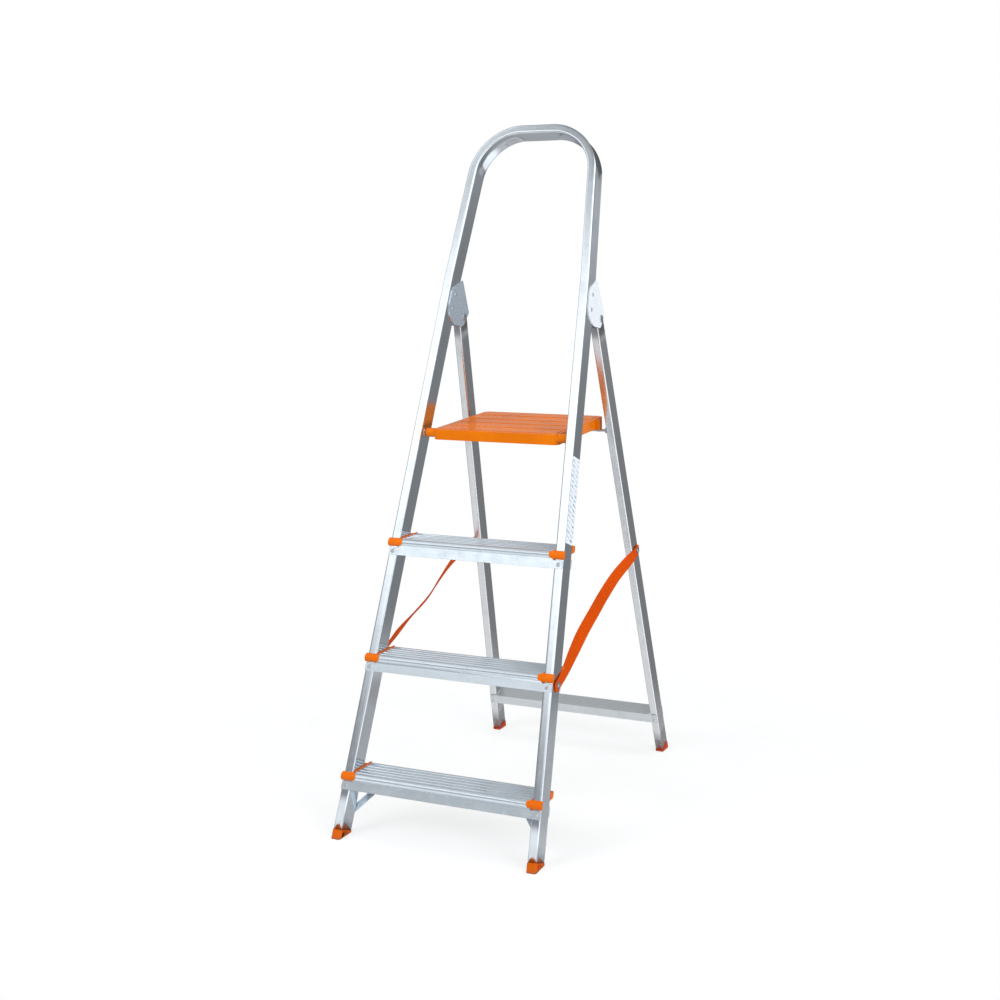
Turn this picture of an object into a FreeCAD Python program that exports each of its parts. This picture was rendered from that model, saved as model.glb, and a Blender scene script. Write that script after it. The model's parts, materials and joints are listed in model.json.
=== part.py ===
"""Platform step ladder: a bent-tube front frame with three treads, a rear frame and a folding platform.

Millimetres. +Z is up, +X is to the right and -Y is the side that is climbed. The ladder stands open.
Its origin is on the floor, under the middle of the whole ladder.

Pieces are drawn in four upright frames and then placed:
  ladder frame  X right, Y back, Z up, with Y = 0 where the stile's front face meets the floor
  stile frame   X across the tube, Y from its front face to the back, Z along the tube
  leg frame     X across the tube, Y from its centre line to the back, Z up the tube from the pivot
  platform      X right, Y back, Z up, from the axle
"""
import FreeCAD, Part
import math
import os

V = FreeCAD.Vector
ORIGIN = V(0, 0, 0)
AXIS_X = V(1, 0, 0)
AXIS_Y = V(0, 1, 0)
AXIS_Z = V(0, 0, 1)
RIGHT, LEFT = 1, -1
SIDES = (("left", LEFT), ("right", RIGHT))
FAR = 4000.0

# ---- overall sizes ----
front_lean = 20.6            # degrees that the stiles lean back
rear_lean = 16.3             # degrees that the rear legs lean forward
stile_taper = 2.84           # degrees that each stile leans inward
bow_taper = 4.4              # the same above the hinge plates
rear_taper = 2.9             # degrees that each rear leg leans inward
foot_half_width = 237.6      # outer face of a stile at the floor
hoop_length = 1619.0         # from the floor to the top of the bow, along the tube
first_tread_height = 134.0
tread_pitch = 240.0
tread_count = 3

# ---- stile tube, bent into one bow ----
stile_width = 20.0
stile_depth = 46.0
stile_wall = 1.4
stile_corner = 3.5
bow_radius = 110.0           # centre line
kink_radius = 400.0
kink_above_pivot = 72.0
tube_end_gap = 3.5           # lowest corner of a cut tube above the floor

# ---- rear tubes ----
rear_width = 18.0
rear_depth = 40.0
rear_wall = 1.3
rear_corner = 3.0
leg_top_above_pivot = 16.0

# ---- hinge ----
pivot_along = 1194.0         # along the stile from the floor
pivot_behind_stile = 44.7
plate_thickness = 2.0
pivot_radius = 4.0
pivot_head_radius = 8.0
pivot_head_height = 2.4
plate_inset = 10.5           # from the stile's front face to the plate's front edge
plate_tip_inset = 4.0        # behind the stile's rear face, at the plate's upper tip
plate_tip_rise = 77.0        # above the pivot, as are the next three
plate_front_rise = 44.0
plate_front_drop = 14.0
plate_toe_drop = 30.0
plate_toe_behind = 4.0       # behind the stile's rear face
plate_rear_rise = 18.0
plate_rear_drop = 20.0
plate_rear_slant = 16.0      # how far the lower rear corner is in front of the upper one
plate_behind_pivot = 18.5
hinge_rivet_inset = 18.0     # behind the plate's front edge
hinge_rivet_rises = (35.0, 1.0)

# ---- treads ----
tread_nose_radius = 8.5
tread_nose_reach = 9.5       # in front of the stile's front face
tread_tail_reach = 26.0      # behind the stile's rear face
tread_plate = 2.0
tread_skirt = 1.8
tread_rib_height = 1.2
tread_rib_width = 8.5
tread_rib_count = 5
front_skirt_drop = 34.0
rear_skirt_drop = 45.0
tread_lip_drop = 12.0
front_tab_top = 18.0         # below the tread's top
rear_tab_top = 25.0

# ---- clips at the tread ends ----
clip_web = 3.0
clip_stand = 1.5             # above the tread's top
clip_over = 3.0              # outside the stile, at the front
clip_wall = 1.0              # around the tread's nose
clip_web_drop = 20.0         # below the tread's top
clip_tail_slope = 14.0
clip_nose_reach = 11.0       # inside the stile, along the tread's nose
clip_block_reach = 15.0      # behind the stile's rear face
clip_block_drop = 13.0       # below the tread's top

# ---- blind rivets ----
rivet_shank_radius = 2.4
rivet_head_radius = 4.6
rivet_head_height = 1.5
rivet_tail = 3.0
rivet_clearance = 0.05

# ---- braces under the lowest tread ----
brace_width = 13.0
brace_thickness = 2.2
brace_foot_along = 60.0      # along the stile, where the strip is riveted to its rear face
brace_foot_reach = 9.0       # flat part of the strip to each side of that rivet
brace_slant = 38.0           # degrees between the strip and the stile, seen from behind
brace_tab_length = 14.0      # under the tread
brace_tab_inset = 3.0        # in front of the tread's rear lip
brace_gap = 0.05

# ---- feet ----
foot_proud = 1.0
foot_plug_length = 24.0
foot_plug_clearance = 0.2
foot_pocket_depth = 3.0
foot_pocket_floor = 4.0      # left under and over each pocket
foot_pockets = ((7.0, 15.0), (18.0, 27.0))   # from the stile's front face

# ---- platform ----
platform_half_width = 150.0
platform_front = 12.0        # in front of the axle
platform_rear = 262.0        # behind the axle
platform_above_axle = 10.0
platform_skirt = 23.5
platform_wall = 3.0
platform_corner = 12.0
platform_tilt = 3.0
platform_band_height = 0.8
platform_band_count = 5
platform_band_gap = 12.0
platform_band_inset = 10.0   # from the platform's side
platform_band_corner = 5.0
platform_rib = 2.4
platform_rib_drop = 17.0
platform_long_ribs = 5
platform_cross_ribs = 4
boss_radius = 10.0
boss_root = 16.0             # inside the platform's side
boss_web_drop = 2.0          # below the axle
axle_along = 903.0           # along the stile from the floor
axle_radius = 4.0
axle_clearance = 0.1
washer_radius = 10.5
washer_thickness = 1.5
boss_end_gap = 1.5           # between a boss and its washer
lug_reach = 7.0
lug_root = 8.0               # inside the platform's side
lug_below_top = 3.0
lug_length = 22.0
rod_radius = 3.0
rod_gap = 0.3
rod_back = 222.0             # behind the axle, along the platform
lug_saddle_depth = 1.4
lug_finger_length = 4.5
lug_finger_drop = 6.0
lug_finger_gap = 0.6         # behind the rest rod

# ---- rear crossbar ----
crossbar_height = 23.0
crossbar_sheet = 2.0
crossbar_top_below_pivot = 1017.0
crossbar_end_inset = 1.0
crossbar_web_gap = 3.5
crossbar_rivet_pitch = 13.0

# ---- straps ----
strap_width = 25.0
strap_thickness = 1.6
strap_gap = 1.0
strap_low_along = 381.0      # along the stile
strap_low_depth = 26.0
strap_high_below_pivot = 575.0
strap_high_offset = 5.6
strap_tail = 14.0
strap_washer_radius = 8.0
strap_washer_thickness = 1.2
strap_end_radius = 9.0

# ---- label on the right stile ----
label_low = 676.0
label_length = 186.0
label_width = 38.0
label_thickness = 0.3

# ---- worked out from the sizes above ----
lean = math.radians(front_lean)
back = math.radians(rear_lean)
stile_axis_half = foot_half_width - stile_width / 2 / math.cos(math.radians(stile_taper))
stile_level_depth = stile_depth / math.cos(lean)
tube_cut = (tube_end_gap + stile_depth * math.sin(lean)) / math.cos(lean)
pivot_depth = stile_depth + pivot_behind_stile
pivot_y = pivot_along * math.sin(lean) + pivot_depth * math.cos(lean)
pivot_z = pivot_along * math.cos(lean) - pivot_depth * math.sin(lean)
pivot_half = stile_axis_half - pivot_along * math.tan(math.radians(stile_taper))
leg_length = (pivot_z - tube_end_gap - rear_depth / 2 * math.sin(back)) / math.cos(back)
axle_y = axle_along * math.sin(lean) + stile_depth / 2 * math.cos(lean)
axle_z = axle_along * math.cos(lean) - stile_depth / 2 * math.sin(lean)
axle_half = stile_axis_half - axle_along * math.tan(math.radians(stile_taper))
tilt = math.radians(platform_tilt)
rod_drop = platform_skirt - platform_above_axle + rod_radius + rod_gap + 0.3
rod_y = axle_y + rod_back * math.cos(tilt) + rod_drop * math.sin(tilt)
rod_z = axle_z + rod_back * math.sin(tilt) - rod_drop * math.cos(tilt)

nodes = {}


# ---- drawing helpers ----
def box(x0, x1, y0, y1, z0, z1):
    return Part.makeBox(x1 - x0, y1 - y0, z1 - z0, V(x0, y0, z0))


def rod_x(radius, x0, x1, y=0.0, z=0.0):
    return Part.makeCylinder(radius, x1 - x0, V(x0, y, z), AXIS_X)


def rounded_outline(points, radii):
    """Closed wire through points, with each corner rounded by its own radius."""
    count = len(points)
    arcs, starts, ends = {}, [], []
    for i in range(count):
        corner = points[i]
        if radii[i] <= 0:
            starts.append(corner)
            ends.append(corner)
            continue
        to_before = (points[i - 1] - corner).normalize()
        to_after = (points[(i + 1) % count] - corner).normalize()
        half = to_before.getAngle(to_after) / 2
        run = radii[i] / math.tan(half)
        bisector = (to_before + to_after).normalize()
        middle = corner + bisector * (radii[i] / math.sin(half) - radii[i])
        starts.append(corner + to_before * run)
        ends.append(corner + to_after * run)
        arcs[i] = Part.Arc(starts[i], middle, ends[i]).toShape()
    loop = []
    for i in range(count):
        following = (i + 1) % count
        if i in arcs:
            loop.append(arcs[i])
        if (ends[i] - starts[following]).Length > 1e-6:
            loop.append(Part.LineSegment(ends[i], starts[following]).toShape())
    return Part.Wire(loop)


def prism_x(profile, x0, x1, radii=None):
    """Solid whose outline is (y, z) pairs, from x0 to x1."""
    points = [V(x0, y, z) for y, z in profile]
    outline = rounded_outline(points, radii or [0] * len(points))
    return Part.Face(outline).extrude(V(x1 - x0, 0, 0))


def prism_y(profile, y0, y1, radii=None):
    """Solid whose outline is (x, z) pairs, from y0 to y1."""
    points = [V(x, y0, z) for x, z in profile]
    outline = rounded_outline(points, radii or [0] * len(points))
    return Part.Face(outline).extrude(V(0, y1 - y0, 0))


def rounded_plate(x0, x1, y0, y1, z0, z1, radius):
    points = [V(x0, y0, z0), V(x1, y0, z0), V(x1, y1, z0), V(x0, y1, z0)]
    return Part.Face(rounded_outline(points, [radius] * 4)).extrude(V(0, 0, z1 - z0))


def tube_z(width, depth, corner, z0, z1, y0):
    """Tube section as a solid bar along Z, centred on X = 0, from y0 to y0 + depth."""
    return rounded_plate(-width / 2, width / 2, y0, y0 + depth, z0, z1, corner)


def open_path(points, radii):
    """Open wire of straight runs with tangent arcs at its inner points."""
    edges = []
    start = points[0]
    for i in range(1, len(points) - 1):
        to_before = (points[i - 1] - points[i]).normalize()
        to_after = (points[i + 1] - points[i]).normalize()
        half = to_before.getAngle(to_after) / 2
        run = radii[i - 1] / math.tan(half)
        arc_start = points[i] + to_before * run
        arc_end = points[i] + to_after * run
        middle_way = (to_before + to_after).normalize()
        middle = points[i] + middle_way * (radii[i - 1] / math.sin(half) - radii[i - 1])
        edges.append(Part.LineSegment(start, arc_start).toShape())
        edges.append(Part.Arc(arc_start, middle, arc_end).toShape())
        start = arc_end
    edges.append(Part.LineSegment(start, points[-1]).toShape())
    return Part.Wire(edges)


def fuse(shapes):
    return shapes[0].multiFuse(shapes[1:]).removeSplitter()


def group(shapes):
    return Part.makeCompound(shapes)


def rivet(out_face, length, head_radius=rivet_head_radius):
    """Blind rivet along X with a domed head that starts at out_face; the shank goes towards -X."""
    rise = rivet_head_height
    dome_radius = (head_radius ** 2 + rise ** 2) / (2 * rise)
    ball = Part.makeSphere(dome_radius, V(out_face + rise - dome_radius, 0, 0))
    head = ball.common(rod_x(head_radius + 1, out_face, out_face + rise + 1))
    dimple = rod_x(rivet_shank_radius * 0.45, out_face + rise * 0.45, out_face + rise + 1)
    shank = rod_x(rivet_shank_radius, out_face - length, out_face)
    return head.cut(dimple).fuse(shank).removeSplitter()


def rivet_drill(out_face, length):
    return rod_x(rivet_shank_radius + rivet_clearance, out_face - length - 1, out_face + 0.01)


# ---- placing helpers ----
def lean_back(shape):
    placed = shape.copy()
    placed.rotate(ORIGIN, AXIS_X, -front_lean)
    return placed


def flip(shape, side):
    return shape if side == RIGHT else shape.mirror(ORIGIN, AXIS_X)


def on_stile(shape, side):
    placed = shape.copy()
    placed.rotate(ORIGIN, AXIS_Y, -stile_taper)
    placed.translate(V(stile_axis_half, 0, 0))
    return lean_back(flip(placed, side))


def on_leg(shape, side):
    placed = shape.copy()
    placed.rotate(ORIGIN, AXIS_Y, -rear_taper)
    placed.translate(V(pivot_half, 0, 0))
    placed = flip(placed, side)
    placed.rotate(ORIGIN, AXIS_X, rear_lean)
    placed.translate(V(0, pivot_y, pivot_z))
    return placed


def across_rear(shape):
    """Place a piece drawn in the rear frame's own plane, with X = 0 in the middle."""
    placed = shape.copy()
    placed.rotate(ORIGIN, AXIS_X, rear_lean)
    placed.translate(V(0, pivot_y, pivot_z))
    return placed


def on_platform(shape):
    placed = shape.copy()
    placed.rotate(ORIGIN, AXIS_X, platform_tilt)
    placed.translate(V(0, axle_y, axle_z))
    return placed


def turned(shape, axis, angle, at):
    placed = shape.copy()
    placed.rotate(ORIGIN, axis, angle)
    placed.translate(at)
    return placed


above_floor = box(-FAR, FAR, -FAR, FAR, 0, FAR)


# ---- front hoop: one tube bent into both stiles and the bow ----
def hoop_bar(width, depth, corner, run_out):
    top = hoop_length - stile_width / 2
    kink = pivot_along + kink_above_pivot
    kink_half = stile_axis_half - kink * math.tan(math.radians(stile_taper))
    bow_half = kink_half - (top - kink) * math.tan(math.radians(bow_taper))
    low = tube_cut - run_out
    low_half = stile_axis_half - low * math.tan(math.radians(stile_taper))
    middle = stile_depth / 2
    points = [V(low_half, middle, low), V(kink_half, middle, kink), V(bow_half, middle, top),
              V(-bow_half, middle, top), V(-kink_half, middle, kink), V(-low_half, middle, low)]
    path = open_path(points, [kink_radius, bow_radius, bow_radius, kink_radius])
    corners = [V(-width / 2, -depth / 2, 0), V(width / 2, -depth / 2, 0),
               V(width / 2, depth / 2, 0), V(-width / 2, depth / 2, 0)]
    section = rounded_outline(corners, [corner] * 4)
    section.rotate(ORIGIN, AXIS_Y, -stile_taper)
    section.translate(points[0])
    return path.makePipeShell([section], True, False)


def make_hoop(drills):
    outer = hoop_bar(stile_width, stile_depth, stile_corner, 0)
    inside = stile_corner - stile_wall
    inner = hoop_bar(stile_width - 2 * stile_wall, stile_depth - 2 * stile_wall, inside, 2)
    tube = lean_back(outer.cut(inner))
    return tube.cut(group(drills))


# ---- treads ----
def tread_height(index):
    return first_tread_height + tread_pitch * index


def face_y(drop):
    """The stile's front face, this far below a tread's top, in the tread's own frame."""
    return -drop * math.tan(lean)


def skirt_profile(y_face, top, bottom, outward):
    """Strip lying along a stile face, from one drop to another."""
    thick = outward * tread_skirt / math.cos(lean)
    return [(y_face + face_y(top), -top), (y_face + face_y(top) + thick, -top),
            (y_face + face_y(bottom) + thick, -bottom), (y_face + face_y(bottom), -bottom)]


def tread_section(x0, x1):
    """Extruded tread between the stiles: ribbed plate, nose, two skirts and a rear lip."""
    tail = stile_level_depth + tread_tail_reach
    plate_top = -tread_rib_height
    nose_y = -tread_nose_reach + tread_nose_radius
    pieces = [box(x0, x1, nose_y, tail, plate_top - tread_plate, plate_top)]
    rib_room = tail - nose_y - 4
    pitch = rib_room / tread_rib_count
    for i in range(tread_rib_count):
        start = nose_y + 4 + pitch * i + (pitch - tread_rib_width) / 2
        slope = 0.8
        rib = [(start, plate_top), (start + tread_rib_width, plate_top),
               (start + tread_rib_width - slope, 0), (start + slope, 0)]
        pieces.append(prism_x(rib, x0, x1))
    tube = rod_x(tread_nose_radius, x0, x1, nose_y, -tread_nose_radius)
    bore = rod_x(tread_nose_radius - tread_plate, x0, x1, nose_y, -tread_nose_radius)
    skirt_back = box(x0, x1, nose_y, tail, -2 * tread_nose_radius, plate_top - tread_plate)
    pieces.append(tube.cut(bore).cut(skirt_back))
    front_top = tread_nose_radius * 1.5
    pieces.append(prism_x(skirt_profile(0, front_top, front_skirt_drop, -1), x0, x1))
    rear_top = tread_rib_height + tread_plate / 2
    pieces.append(prism_x(skirt_profile(stile_level_depth, rear_top, rear_skirt_drop, 1), x0, x1))
    lip = [(tail - tread_plate, plate_top), (tail, plate_top),
           (tail, -tread_lip_drop), (tail - tread_plate, -tread_lip_drop)]
    pieces.append(prism_x(lip, x0, x1))
    return fuse(pieces)


def make_tread(index, drills):
    height = tread_height(index)
    at = V(0, height * math.tan(lean), height)
    reach = foot_half_width
    body = tread_section(-reach, reach)
    body.translate(at)
    tabs = [prism_x(skirt_profile(0, front_tab_top, front_skirt_drop, -1), -reach, reach),
            prism_x(skirt_profile(stile_level_depth, rear_tab_top, rear_skirt_drop, 1), -reach, reach)]
    for tab in tabs:
        tab.translate(at)
    inner_face = -stile_width / 2 - clip_web
    for name, side in SIDES:
        end = on_stile(box(inner_face, FAR, -FAR, FAR, -FAR, FAR), side)
        body = body.cut(end)
        over = on_stile(box(stile_width / 2, FAR, -FAR, FAR, -FAR, FAR), side)
        tabs = [tab.cut(over) for tab in tabs]
    return fuse([body] + tabs).cut(group(drills))


def tread_rivet_spots(index):
    """Place of each rivet on the stile faces: (side, along the stile, on the front face?)."""
    height = tread_height(index)
    front_drop = (front_tab_top + front_skirt_drop) / 2
    rear_drop = (rear_tab_top + rear_skirt_drop) / 2
    front_along = (height - front_drop) / math.cos(lean)
    rear_along = (height - rear_drop + stile_depth * math.sin(lean)) / math.cos(lean)
    spots = []
    for name, side in SIDES:
        spots.append((side, front_along, True))
        spots.append((side, rear_along, False))
    return spots


def at_tread_rivet(shape, spot):
    side, along, in_front = spot
    if in_front:
        placed = turned(shape, AXIS_Z, -90, V(0, 0, along))
    else:
        placed = turned(shape, AXIS_Z, 90, V(0, stile_depth, along))
    return on_stile(placed, side)


# ---- clips ----
def make_clip(index, side):
    """Moulded end clip: a nose block in front of the stile with a cap that runs on along the tread's
    nose, a thin web inside the stile, and a block behind it."""
    height = tread_height(index)
    at = V(0, height * math.tan(lean), height)
    tail = stile_level_depth + tread_tail_reach
    inner, outer = 0, foot_half_width + stile_width
    nose_radius = tread_nose_radius + clip_wall
    nose_y = -tread_nose_reach + tread_nose_radius
    nose = rod_x(nose_radius, inner, outer, nose_y, -tread_nose_radius)
    past_face = stile_depth / 8
    fill = [(nose_y, clip_wall), (past_face, clip_stand), (past_face, -front_tab_top),
            (nose_y - nose_radius * 0.55, -front_tab_top)]
    front = nose.fuse(prism_x(fill, inner, outer))
    front = front.cut(box(inner, outer, -FAR, FAR, -FAR, -front_tab_top))
    cap = front.cut(rod_x(tread_nose_radius, inner, outer, nose_y, -tread_nose_radius))
    cap = cap.cut(box(inner, outer, -tread_skirt, FAR, -FAR, 0))
    web = prism_x([(-past_face, -front_tab_top), (0, clip_stand), (tail, clip_stand),
                   (tail, -tread_lip_drop), (tail - clip_tail_slope, -clip_web_drop),
                   (past_face, -clip_web_drop)], inner, outer)
    block_start = stile_level_depth - past_face * 2
    block_end = stile_level_depth + clip_block_reach
    rear = prism_x([(block_start, clip_stand), (block_end, clip_stand),
                    (block_end, -clip_block_drop / 2), (block_end - 5, -clip_block_drop),
                    (block_start, -clip_block_drop)], inner, outer, [0, 2.5, 2, 1.5, 0])
    for piece in (front, cap, web, rear):
        piece.translate(at)
    inside = -stile_width / 2
    nose_depth = tread_nose_reach * math.cos(lean) - tread_nose_radius * math.sin(lean)
    wedge = [V(inside, 0, -FAR), V(inside - clip_nose_reach, -nose_depth, -FAR),
             V(inside - clip_nose_reach, -FAR, -FAR), V(inside, -FAR, -FAR)]
    wedge = Part.Face(Part.makePolygon(wedge + wedge[:1])).extrude(V(0, 0, 2 * FAR))
    cap = cap.common(on_stile(wedge, RIGHT))
    web = web.common(on_stile(box(inside - clip_web, inside, -FAR, FAR, -FAR, FAR), RIGHT))
    band = on_stile(box(inside - clip_web, stile_width / 2 + clip_over, -FAR, 0, -FAR, FAR), RIGHT)
    front = front.common(band)
    band = on_stile(box(inside - clip_web, stile_width / 2, stile_depth, FAR, -FAR, FAR), RIGHT)
    rear = rear.common(band)
    return flip(fuse([front, cap, web, rear]), side)


# ---- braces under the lowest tread ----
def brace_top():
    """Where the strip reaches the tread's underside: point on the right stile, and depth there."""
    under = tread_rib_height + tread_plate + brace_gap
    rear_y = stile_level_depth + tread_tail_reach - tread_plate - brace_tab_inset
    depth = (rear_y - face_y(under)) * math.cos(lean) - brace_thickness
    along = (first_tread_height - under + depth * math.sin(lean)) / math.cos(lean)
    sideways = (along - brace_foot_along) * math.tan(math.radians(brace_slant))
    return on_stile(Part.Vertex(V(-sideways, depth, along)), RIGHT).Point, depth, along


def make_brace(drills):
    """Strip bent at both ends: a flat foot behind the stile, a slanting run, a tab under the tread."""
    top, depth, along = brace_top()
    half, reach = brace_width / 2, brace_foot_reach
    y0, y1 = brace_gap, brace_gap + brace_thickness
    foot = prism_y([(-half, -reach), (half, -reach), (half, reach), (-half, reach)], y0, y1, [4, 4, 0, 0])
    slant = math.radians(brace_slant)
    run = (along - brace_foot_along) / math.cos(slant) - reach
    backward = math.degrees(math.atan((depth - stile_depth) / run))
    strip = box(-half, half, y0, y1, 0, run * 1.2)
    strip = turned(strip, AXIS_X, -backward, V(0, 0, reach))
    bar = turned(fuse([foot, strip]), AXIS_Y, -brace_slant, V(0, stile_depth, brace_foot_along))
    bar = on_stile(bar, RIGHT).cut(box(-FAR, FAR, -FAR, FAR, top.z, FAR))
    half_tab = half / math.cos(slant)
    rear_y = top.y + brace_thickness / math.cos(lean)
    tab = box(top.x - half_tab, top.x + half_tab, rear_y - brace_tab_length, rear_y,
              top.z - brace_thickness, top.z)
    return fuse([bar, tab]).cut(group(drills))


def brace_rivet_pieces(stile_piece, tread_piece):
    """Place the right brace's stile rivet and tread rivet, or the drills for them."""
    to_stile = turned(stile_piece, AXIS_Z, 90, V(0, stile_depth, brace_foot_along))
    top = brace_top()[0]
    to_tread = turned(tread_piece, AXIS_Y, 90, top + V(0, -brace_tab_length / 2, brace_gap))
    return [on_stile(to_stile, RIGHT), to_tread]


# ---- feet ----
def make_front_foot(side):
    """Wedge plug: deep at the front, thin at the rear, with pockets in its sides."""
    half = stile_width / 2 + foot_proud
    block = rounded_plate(-half, half, -foot_proud, stile_depth + foot_proud,
                          tube_cut - 2 * stile_depth, tube_cut, stile_corner + foot_proud)
    inset = stile_wall + foot_plug_clearance
    plug = rounded_plate(-stile_width / 2 + inset, stile_width / 2 - inset, inset, stile_depth - inset,
                         tube_cut - 1, tube_cut + foot_plug_length, stile_corner - stile_wall)
    slope = math.tan(lean)
    roof = tube_cut - foot_pocket_floor / 2
    for y0, y1 in foot_pockets:
        pocket = [(y0, y0 * slope + foot_pocket_floor), (y1, y1 * slope + foot_pocket_floor),
                  (y1, roof), (y0, roof)]
        block = block.cut(prism_x(pocket, half - foot_pocket_depth, half + 1))
        block = block.cut(prism_x(pocket, -half - 1, -half + foot_pocket_depth))
    return on_stile(fuse([block, plug]), side).common(above_floor)


def make_rear_foot(side):
    half = rear_width / 2 + foot_proud
    deep = rear_depth / 2
    block = rounded_plate(-half, half, -deep - foot_proud, deep + foot_proud,
                          -leg_length - 2 * rear_depth, -leg_length, rear_corner + foot_proud)
    inset = rear_wall + foot_plug_clearance
    plug = rounded_plate(-rear_width / 2 + inset, rear_width / 2 - inset, -deep + inset, deep - inset,
                         -leg_length - 1, -leg_length + foot_plug_length, rear_corner - rear_wall)
    return on_leg(fuse([block, plug]), side).common(above_floor)


# ---- hinge plates ----
def plate_outline():
    """Leaf shape as (depth, along) corners in the stile frame, and each corner's radius."""
    rear_edge = pivot_depth + plate_behind_pivot
    corners = [(stile_depth + plate_tip_inset, pivot_along + plate_tip_rise),
               (plate_inset, pivot_along + plate_front_rise),
               (plate_inset, pivot_along - plate_front_drop),
               (stile_depth + plate_toe_behind, pivot_along - plate_toe_drop),
               (rear_edge - plate_rear_slant, pivot_along - plate_rear_drop),
               (rear_edge, pivot_along + plate_rear_rise)]
    return corners, [6, 30, 34, 40, 14, 5]


def hinge_rivet_spots():
    return [(plate_inset + hinge_rivet_inset, pivot_along + rise) for rise in hinge_rivet_rises]


def make_plate(outer, side, pivot_hole):
    outline, radii = plate_outline()
    if outer:
        x0, x1 = stile_width / 2, stile_width / 2 + plate_thickness
    else:
        x0, x1 = -stile_width / 2 - plate_thickness, -stile_width / 2
    plate = prism_x(outline, x0, x1, radii)
    for depth, along in hinge_rivet_spots():
        plate = plate.cut(rod_x(rivet_shank_radius + rivet_clearance, -FAR, FAR, depth, along))
    return on_stile(plate, side).cut(pivot_hole)


def make_hinge_rivet(depth, along):
    """Solid rivet through both plates and the stile, with a head at each end."""
    reach = stile_width / 2 + plate_thickness
    head = rivet(reach, reach + 0.1)
    pair = fuse([head, head.mirror(ORIGIN, AXIS_X)])
    pair.translate(V(0, depth, along))
    return pair


def make_pivot(side):
    """Pivot pin with two heads that lie on the slightly leaning plates."""
    reach = stile_width / 2 + plate_thickness
    x0, x1 = pivot_half - reach - pivot_head_height, pivot_half + reach + pivot_head_height
    shank = rod_x(pivot_radius, x0 + 0.5, x1 - 0.5, pivot_y, pivot_z)
    inner = rod_x(pivot_head_radius, x0, x0 + pivot_head_height + 1, pivot_y, pivot_z)
    outer = rod_x(pivot_head_radius, x1 - pivot_head_height - 1, x1, pivot_y, pivot_z)
    inner = inner.makeFillet(1.2, [e for e in inner.Edges if abs(e.BoundBox.XMin - x0) < 1e-4
                                   and e.BoundBox.XLength < 1e-3])
    outer = outer.makeFillet(1.2, [e for e in outer.Edges if abs(e.BoundBox.XMax - x1) < 1e-4
                                   and e.BoundBox.XLength < 1e-3])
    between = on_stile(box(-stile_width / 2 - plate_thickness, stile_width / 2 + plate_thickness,
                           -FAR, FAR, -FAR, FAR), RIGHT)
    heads = [inner.cut(between), outer.cut(between)]
    return flip(fuse([shank] + heads), side)


# ---- platform ----
def make_platform():
    """Moulded shell with shallow bands on top, ribs below, axle bosses and lugs for the rest rod."""
    top = platform_above_axle
    low = top - platform_skirt
    plate_top = top - platform_band_height
    half = platform_half_width
    front, rear = -platform_front, platform_rear
    outer = rounded_plate(-half, half, front, rear, low, plate_top, platform_corner)
    wall = platform_wall
    inner = rounded_plate(-half + wall, half - wall, front + wall, rear - wall, low - 1,
                          plate_top - wall, platform_corner - wall)
    pieces = [outer.cut(inner)]
    room = rear - front - 2 * platform_corner
    band = (room - platform_band_gap * (platform_band_count - 1)) / platform_band_count
    band_half = half - platform_band_inset
    for i in range(platform_band_count):
        start = front + platform_corner + i * (band + platform_band_gap)
        pieces.append(rounded_plate(-band_half, band_half, start, start + band,
                                    plate_top - wall / 2, top, platform_band_corner))
    rib_low = top - platform_rib_drop
    rib_top = plate_top - wall / 2
    rib_half = platform_rib / 2
    for i in range(platform_long_ribs):
        x = -half + 2 * half * (i + 1) / (platform_long_ribs + 1)
        pieces.append(box(x - rib_half, x + rib_half, front + wall / 2, rear - wall / 2, rib_low, rib_top))
    for i in range(platform_cross_ribs):
        y = front + (rear - front) * (i + 1) / (platform_cross_ribs + 1)
        pieces.append(box(-half + wall / 2, half - wall / 2, y - rib_half, y + rib_half, rib_low, rib_top))
    boss_end = axle_half - stile_width / 2 - washer_thickness - boss_end_gap
    for name, side in SIDES:
        boss = rod_x(boss_radius, half - boss_root, boss_end)
        boss_web = box(half - boss_root, half - wall / 2, -boss_radius, boss_radius, -boss_web_drop, rib_top)
        pieces.append(flip(boss.fuse(boss_web), side))
        lug_front = rod_back - lug_length / 2
        lug_low = -rod_drop + rod_radius + rod_gap - lug_saddle_depth
        lug = box(half - lug_root, half + lug_reach, lug_front, lug_front + lug_length,
                  lug_low, top - lug_below_top)
        finger_y = rod_back + rod_radius + rod_gap + lug_finger_gap
        finger = box(half - wall, half + lug_reach, finger_y, finger_y + lug_finger_length,
                     lug_low - lug_finger_drop, top - lug_below_top - 1)
        pieces.append(flip(lug.fuse(finger), side))
    shell = fuse(pieces)
    shell = shell.cut(rod_x(axle_radius + axle_clearance, -FAR, FAR))
    saddle = rod_x(rod_radius + rod_gap, -FAR, FAR, rod_back, -rod_drop)
    return on_platform(shell.cut(saddle))


def make_washer(side):
    """Washer on the axle against the stile's inner face."""
    disc_end = axle_half + stile_width
    x0 = axle_half - stile_width / 2 - washer_thickness
    disc = rod_x(washer_radius, x0, disc_end, axle_y, axle_z)
    disc = disc.cut(rod_x(axle_radius + axle_clearance, x0 - 1, disc_end + 1, axle_y, axle_z))
    free_side = on_stile(box(-stile_width / 2, FAR, -FAR, FAR, -FAR, FAR), RIGHT)
    return flip(disc.cut(free_side), side)


# ---- rear frame ----
def make_leg(side, drills):
    deep = rear_depth / 2
    outer = tube_z(rear_width, rear_depth, rear_corner, -leg_length, leg_top_above_pivot, -deep)
    inner = tube_z(rear_width - 2 * rear_wall, rear_depth - 2 * rear_wall, rear_corner - rear_wall,
                   -leg_length - 1, leg_top_above_pivot + 1, -deep + rear_wall)
    return on_leg(outer.cut(inner), side).cut(group(drills))


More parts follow.
